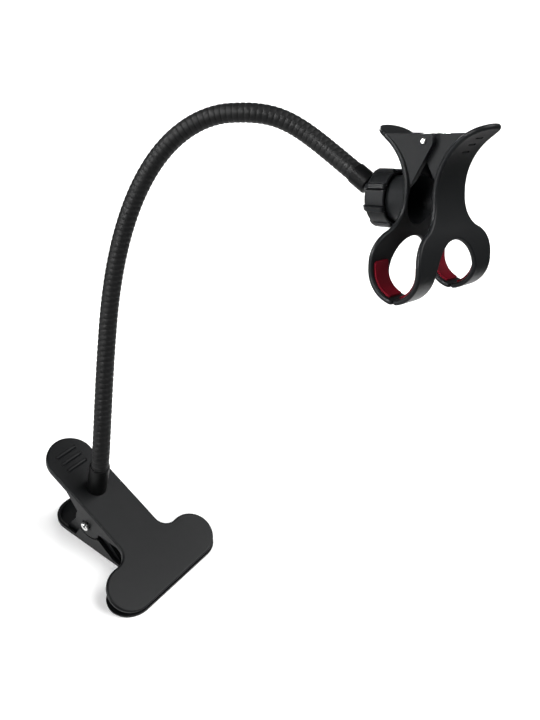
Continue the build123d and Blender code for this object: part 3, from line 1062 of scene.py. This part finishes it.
# Side view of a phone clip jaw: a handle arc, an S of two equal arcs and a hook
handle_run = handle_reach - waist_reach
handle_climb = handle_rise + waist_drop
handle_round = (handle_run**2 + handle_climb**2) / (2 * handle_run)
handle_sweep = asin(handle_climb / handle_round)
handle_length = handle_round * handle_sweep
sway_fall = loop_drop - waist_drop
sway_swell = loop_reach - waist_reach
sway_round = (sway_swell**2 + sway_fall**2) / (4 * sway_swell)
sway_sweep = asin(sway_fall / (2 * sway_round))
sway_length = sway_round * sway_sweep
hook_sweep = acos(1 - (loop_reach - tip_gap / 2) / loop_round)
jaw_length = handle_length + 2 * sway_length + loop_round * hook_sweep


def jaw_point(along, depth):
    """Side-view place on a jaw, at a length from the handle's end and a depth below the outer surface."""
    if along < handle_length:
        turn = pi - handle_sweep + along / handle_round
        centre, radius = (waist_reach + handle_round, -waist_drop), handle_round + depth
    elif along < handle_length + sway_length:
        turn = pi + (along - handle_length) / sway_round
        centre, radius = (waist_reach + sway_round, -waist_drop), sway_round + depth
    elif along < handle_length + 2 * sway_length:
        turn = (handle_length + 2 * sway_length - along) / sway_round
        centre, radius = (loop_reach - sway_round, -loop_drop), sway_round - depth
    else:
        turn = (handle_length + 2 * sway_length - along) / loop_round
        centre, radius = (loop_reach - loop_round, -loop_drop), loop_round - depth
    return centre[0] + radius * cos(turn), centre[1] + radius * sin(turn)


def length_to(drop):
    """Length from the handle's end to where the outer surface is that far below the pin."""
    if drop < waist_drop:
        return handle_length - handle_round * asin((waist_drop - drop) / handle_round)
    if drop < (waist_drop + loop_drop) / 2:
        return handle_length + sway_round * asin((drop - waist_drop) / sway_round)
    if drop < loop_drop:
        return handle_length + 2 * sway_length - sway_round * asin((loop_drop - drop) / sway_round)
    return handle_length + 2 * sway_length + loop_round * asin((drop - loop_drop) / loop_round)


def bend_to_jaw(blank, first_row):
    """Cut a flat blank into rows and bend it along the jaw, its outer face being at height 0."""
    with editing(blank):
        row = first_row
        while row < jaw_length - row_stop:
            bpy.ops.mesh.select_all(action="SELECT")
            bpy.ops.mesh.bisect(plane_co=(row, 0, 0), plane_no=(1, 0, 0))
            row += row_step
        shape = bmesh.from_edit_mesh(blank.data)
        for corner in shape.verts:
            x, z = jaw_point(corner.co.x, -corner.co.z)
            corner.co = (x, corner.co.y, z)
        bmesh.update_edit_mesh(blank.data)
        close_up()


def jaw_blank(name):
    """Flat moulding of a phone clip jaw before it is bent: handle, waist and fingers round an arch."""
    spread = finger_half_span - waist_half_width
    fall = flare_end - flare_start
    flare_round = (spread**2 + fall**2) / (4 * spread)
    flare = degrees(asin(fall / (2 * flare_round)))
    half_gap = finger_half_span - finger_width
    flare_line = (
        arc((waist_half_width + flare_round, flare_start), flare_round, 180, 180 - flare, 14)
        + arc((finger_half_span - flare_round, flare_end), flare_round, -flare, 0, 14)
    )
    arch_rise = arch_spring - arch_top
    arch_line = [
        (half_gap * width, arch_spring - arch_rise * height)
        for width, height in arc((0, 0), 1, 0, 90, 28)
    ]
    end = jaw_length - finger_corner
    half = (
        arc((handle_corner, handle_half_width - handle_corner), handle_corner, 180, 90, 16)
        + [(length_to(drop), width) for width, drop in flare_line]
        + arc((end, finger_half_span - finger_corner), finger_corner, 90, 0, 6)
        + arc((end, half_gap + finger_corner), finger_corner, 0, -90, 6)
        + [(length_to(drop), width) for width, drop in arch_line]
    )
    mirrored = [(x, -y) for x, y in reversed(half[:-1])]
    blank = filled(name, [(x, y, 0) for x, y in half + mirrored])
    thicken(blank, 0, 0, -jaw_wall)
    soften(blank, jaw_round, 5)
    for row in range(grip_groove_count):
        groove = bar_across(
            "grip", grip_groove_radius, -grip_groove_half, grip_groove_half,
            x=grip_groove_start + row * grip_groove_pitch, sides=16,
        )
        soften(groove, grip_groove_round, 2, sharper_than=60)
        carve(blank, groove)
    return blank


def phone_jaw(name, ear_outside):
    """One jaw of the phone clip about its pin, with its two ears."""
    jaw = jaw_blank(name)
    bend_to_jaw(jaw, row_step)
    top = 180 - degrees(asin(holder_ear_crest / holder_ear_nose))
    waist = sqrt(waist_reach**2 + waist_drop**2)
    low = degrees(acos(holder_ear_nose / waist) + atan2(waist_drop, waist_reach))
    nose = arc((0, 0), holder_ear_nose, top, 360 - low, 20)
    rise = length_to(-holder_ear_top) - handle_length
    root = [
        jaw_point(handle_length + rise * step / ear_root_steps, jaw_wall / 2)
        for step in range(ear_root_steps + 1)
    ]
    for side in (-1, 1):
        ear = filled("ear", [(x, side * ear_outside, z) for x, z in nose + root])
        thicken(ear, 0, -side * holder_ear, 0)
        soften(ear, holder_ear_round, 3, where=lambda place: place.x < handle_reach / 2)
        carve(jaw, ear, "UNION")
    past_sides = 2 * handle_half_width
    carve(jaw, bar_across("eye", holder_pin_radius + pin_fit, -past_sides, past_sides))
    return jaw


def front_phone_jaw():
    """Front jaw, whose ears stand inside those of the back jaw."""
    jaw = phone_jaw("front_phone_jaw", handle_half_width - holder_ear - ear_clearance)
    stand_for(jaw, "holder_front_jaw", holder_place)


def back_phone_jaw():
    """Back jaw with the flared cup that takes the ball, opened through its wall."""
    jaw = phone_jaw("back_phone_jaw", handle_half_width - holder_ear_inset)
    face = pin_ahead_of_ball - waist_reach
    mouth = sqrt((ball_radius + ball_fit) ** 2 - cup_mouth**2)
    through = face + 4 * jaw_wall
    ball_seat = Matrix.Translation((pin_ahead_of_ball, 0, -pin_above_ball))
    ball_seat @= Matrix.Rotation(-pi / 2, 4, "Y")
    cup = turned(
        "cup",
        [(0, cup_mouth), (cup_radius, cup_mouth), (cup_radius, nut_front), (cup_flare, face),
         (cup_flare, through), (0, through)],
    )
    move(cup, ball_seat)
    spine = [jaw_point(jaw_length * step / spine_steps, jaw_wall / 2) for step in range(spine_steps + 1)]
    behind = -2 * handle_reach
    outline = spine + [(behind, spine[-1][1]), (behind, spine[0][1])]
    inside = filled("inside", [(x, -2 * cup_flare, z) for x, z in outline])
    thicken(inside, 0, 4 * cup_flare, 0)
    carve(cup, inside)
    carve(jaw, cup, "UNION")
    hollow = turned(
        "hollow",
        [(0, cup_mouth - cup_overrun), (mouth, cup_mouth - cup_overrun), (mouth, cup_mouth),
         (cup_recess, face + jaw_wall), (cup_recess, through), (0, through)],
    )
    carve(jaw, move(hollow, ball_seat))
    move(jaw, Matrix.Scale(-1, 4, (1, 0, 0)))
    with editing(jaw):
        close_up()
    stand_for(jaw, "holder_back_jaw", holder_place)


def grip_pads():
    """Red rubber strips on the inner faces of the four fingers."""
    middle = finger_half_span - finger_width / 2
    half_width = finger_width / 2 - grip_pad_margin
    first = length_to(grip_pad_top)
    last = jaw_length - grip_pad_tip
    surface = -jaw_wall - seat_gap
    for jaw_side, jaw_name in ((1, "front"), (-1, "back")):
        for side, finger in ((-1, "near"), (1, "far")):
            low = side * middle - half_width
            high = side * middle + half_width
            strip = filled(
                f"{jaw_name}_{finger}_finger_strip",
                [(x, y, surface) for x, y in ((first, low), (last, low), (last, high), (first, high))],
            )
            round_corners(strip, grip_pad_corner, 5, lambda place: True)
            thicken(strip, 0, 0, seat_gap - grip_pad)
            soften(strip, grip_pad_round, 3, where=lambda place: place.z < surface - slack)
            bend_to_jaw(strip, first + row_step)
            move(strip, Matrix.Scale(jaw_side, 4, (1, 0, 0)))
            with editing(strip):
                close_up()
            stand_for(strip, f"{jaw_name}_grip_pad_{finger}", holder_place)


def phone_clip_pin():
    """Pin across the phone clip's ears, with rounded heads."""
    half = handle_half_width + holder_pin_proud
    pin = round_bar("phone_clip_pin", holder_pin_radius, -half, half)
    soften(pin, holder_pin_round, 3, sharper_than=60)
    stand_for(pin, "holder_pin", holder_place @ Matrix.Rotation(pi / 2, 4, "X"))


def phone_clip_spring():
    """Spring round the phone clip's pin, with one leg on each handle's inner face."""
    reach = waist_reach + handle_round
    face = reach - sqrt((handle_round + jaw_wall) ** 2 - (holder_leg_rise + waist_drop) ** 2)
    tip = face - holder_wire - seat_gap
    spring = torsion_spring(
        "phone_clip_spring", holder_coil_radius, holder_wire, holder_coil_turns, holder_coil_half_length,
        Vector((tip, holder_leg_rise)), Vector((-tip, holder_leg_rise)),
    )
    bend_from = holder_pin + holder_ahead * holder_coil_radius * MM
    bend_to = holder_pin + holder_ahead * tip * MM
    stand_for(spring, "holder_spring", holder_place, ("holder", "holder_front", bend_from, bend_to))


upper_clip_jaw()
lower_clip_jaw()
clip_pad("upper_clip_strip", upper_front, "clip_upper_pad", upper_place @ Matrix.Rotation(pi, 4, "X"))
clip_pad("lower_clip_strip", lower_front, "clip_lower_pad", lower_place)
rolled_clip_pin()
clip_spring()
collar()
collar_fastening()
gooseneck()
ferrule()
ball_stud()
lock_nut()
back_phone_jaw()
front_phone_jaw()
phone_clip_pin()
phone_clip_spring()
grip_pads()


def floors():
    """Table under the part, and a wide surround with a hole for it that the part doesn't mirror."""
    white = pale_floor()
    middle = (*table_middle, -floor_drop)
    for name, half in (("table", table_half), ("surround", floor_half)):
        floor = start(name, bpy.ops.mesh.primitive_plane_add, middle, size=(half, half, 1))
        floor.data.materials.append(white)
        if half > table_half:
            with editing(floor):
                bpy.ops.mesh.inset(thickness=half - table_half)
                bpy.ops.mesh.delete(type="FACE")
            floor.visible_glossy = False


def surroundings():
    """World that the camera sees as white and that lights the part only faintly."""
    world = bpy.data.worlds.new("studio")
    world.use_nodes = True
    nodes = world.node_tree.nodes
    nodes["Background"].inputs["Color"].default_value = (1, 1, 1, 1)
    nodes["Background"].inputs["Strength"].default_value = world_strength
    backdrop = nodes.new("ShaderNodeBackground")
    backdrop.inputs["Color"].default_value = (1, 1, 1, 1)
    seen = nodes.new("ShaderNodeLightPath")
    mix = nodes.new("ShaderNodeMixShader")
    link = world.node_tree.links.new
    link(seen.outputs["Is Camera Ray"], mix.inputs[0])
    link(nodes["Background"].outputs[0], mix.inputs[1])
    link(backdrop.outputs[0], mix.inputs[2])
    link(mix.outputs[0], nodes["World Output"].inputs["Surface"])
    bpy.context.scene.world = world


def lights():
    """Window and soft panels, each with its place, its aim, its power and its size."""
    for name, kind, place, aim, power, settings in (
        ("window", "SUN", (0.60, 0.40, 0.70), clip_middle, 5.2, {"angle": radians(50)}),
        ("left_panel", "AREA", (-0.50, -0.70, 0.25), neck_middle, 5.0, {"size": 0.5}),
        (
            "front_panel", "AREA", (0.04, -0.78, 0.74), neck_top, 0.85,
            {"size": 0.4, "spread": radians(26)},
        ),
        (
            "upper_panel", "AREA", (-0.38, -0.43, 0.84), phone_clip_middle, 0.36,
            {"size": 0.26, "spread": radians(14)},
        ),
        ("back_panel", "AREA", (-1.00, 0.95, 0.14), clip_middle, 12.0, {"size": 0.4}),
    ):
        light = bpy.data.lights.new(name, kind)
        light.energy = power
        for setting, value in settings.items():
            setattr(light, setting, value)
        lamp = bpy.data.objects.new(name, light)
        lamp.location = place
        lamp.rotation_euler = (Vector(aim) - Vector(place)).to_track_quat("-Z", "Y").to_euler()
        bpy.context.scene.collection.objects.link(lamp)


def photo_camera():
    """Camera fitted to the photo."""
    camera = bpy.data.objects.new("camera", bpy.data.cameras.new("camera"))
    camera.data.lens = camera_lens
    camera.data.sensor_width = camera_sensor
    camera.data.clip_start = camera_nearest
    camera.location = camera_place
    camera.rotation_euler = camera_forward.to_track_quat("-Z", "Y").to_euler()
    bpy.context.scene.collection.objects.link(camera)
    bpy.context.scene.camera = camera


floors()
bpy.context.scene.view_settings.view_transform = "Standard"
surroundings()
lights()
photo_camera()
